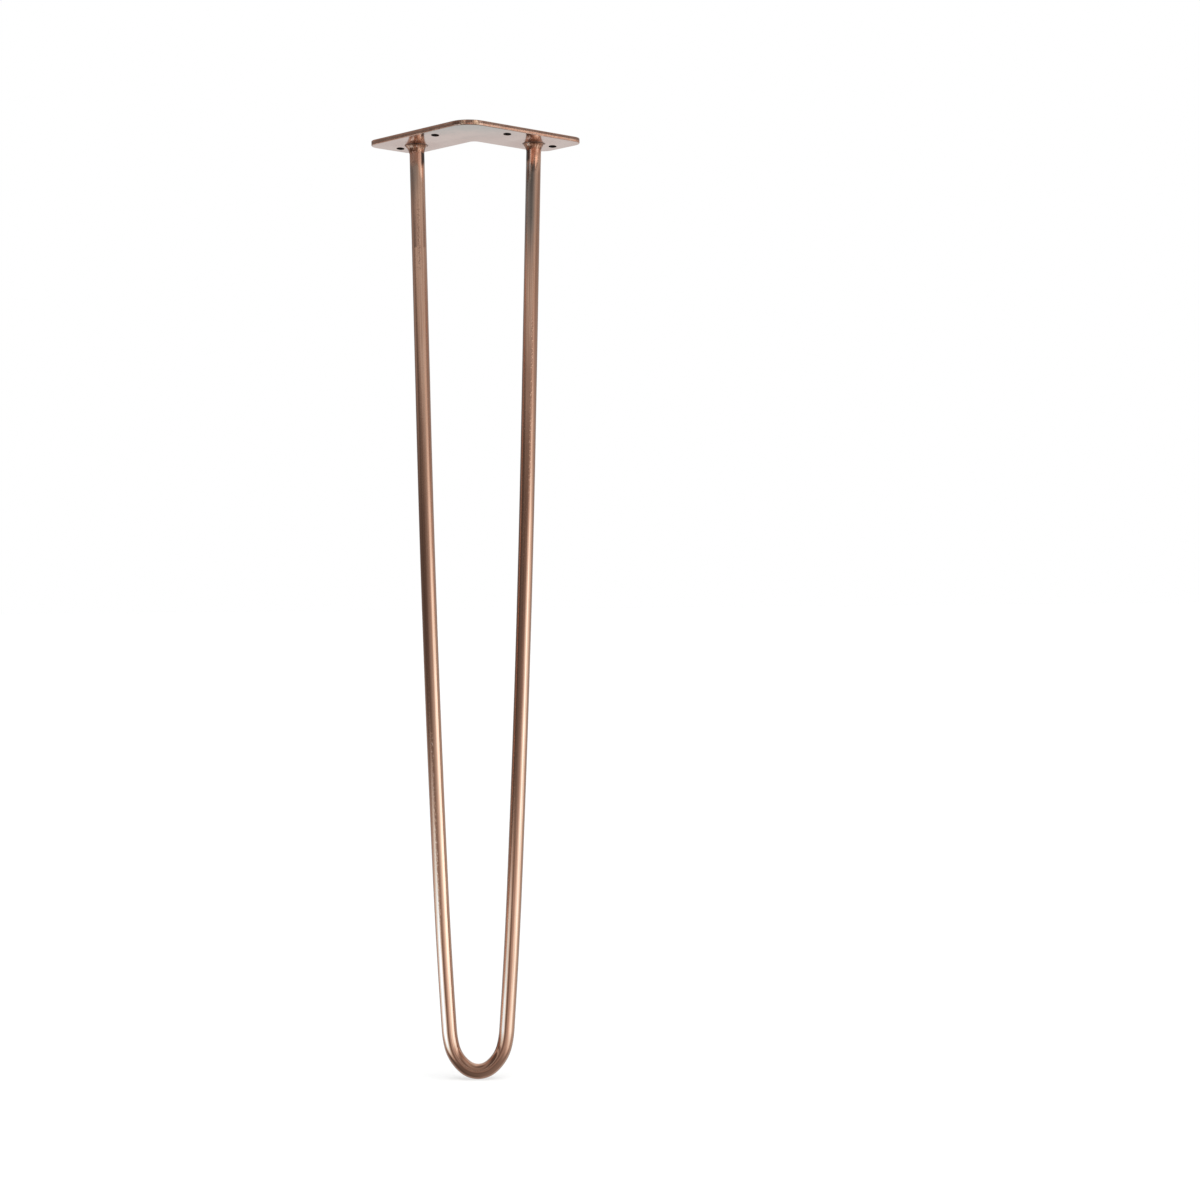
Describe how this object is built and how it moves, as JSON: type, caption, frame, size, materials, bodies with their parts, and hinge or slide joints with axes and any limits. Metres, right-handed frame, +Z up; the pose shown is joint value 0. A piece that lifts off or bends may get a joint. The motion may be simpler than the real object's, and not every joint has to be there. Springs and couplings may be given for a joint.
{
  "type": "hairpin table leg",
  "caption": "Table leg made of a round steel rod bent into a narrow U and welded under a flat right-angled chevron plate with screw holes, finished in antiqued copper.",
  "frame": {"origin": "on the plate's top face, midway between the two inner screw holes", "axes": "+Z up, out of the plate's top face towards the table top; +X across the leg, with X = 0 its plane of symmetry; +Y along the bisector of the plate's right angle, from the rounded outer corner towards the inner notch. The rod hangs down from the plate and its foot comes forward, to -Y"},
  "size_m": [0.1606, 0.1083, 0.711],
  "materials": {
    "plate_finish": "antiqued copper plating on rolled steel plate, satin, darker on the cut edges",
    "rod_finish": "antiqued copper plating on drawn steel rod, satin, with fine streaks along the rod",
    "weld_finish": "antiqued copper plating over a rippled weld bead, semi-bright"
  },
  "bodies": {
    "root": {"mounting_plate": "plate_finish", "hairpin_rod": "rod_finish", "weld_left": "weld_finish", "weld_right": "weld_finish"}
  },
  "joints": []
}
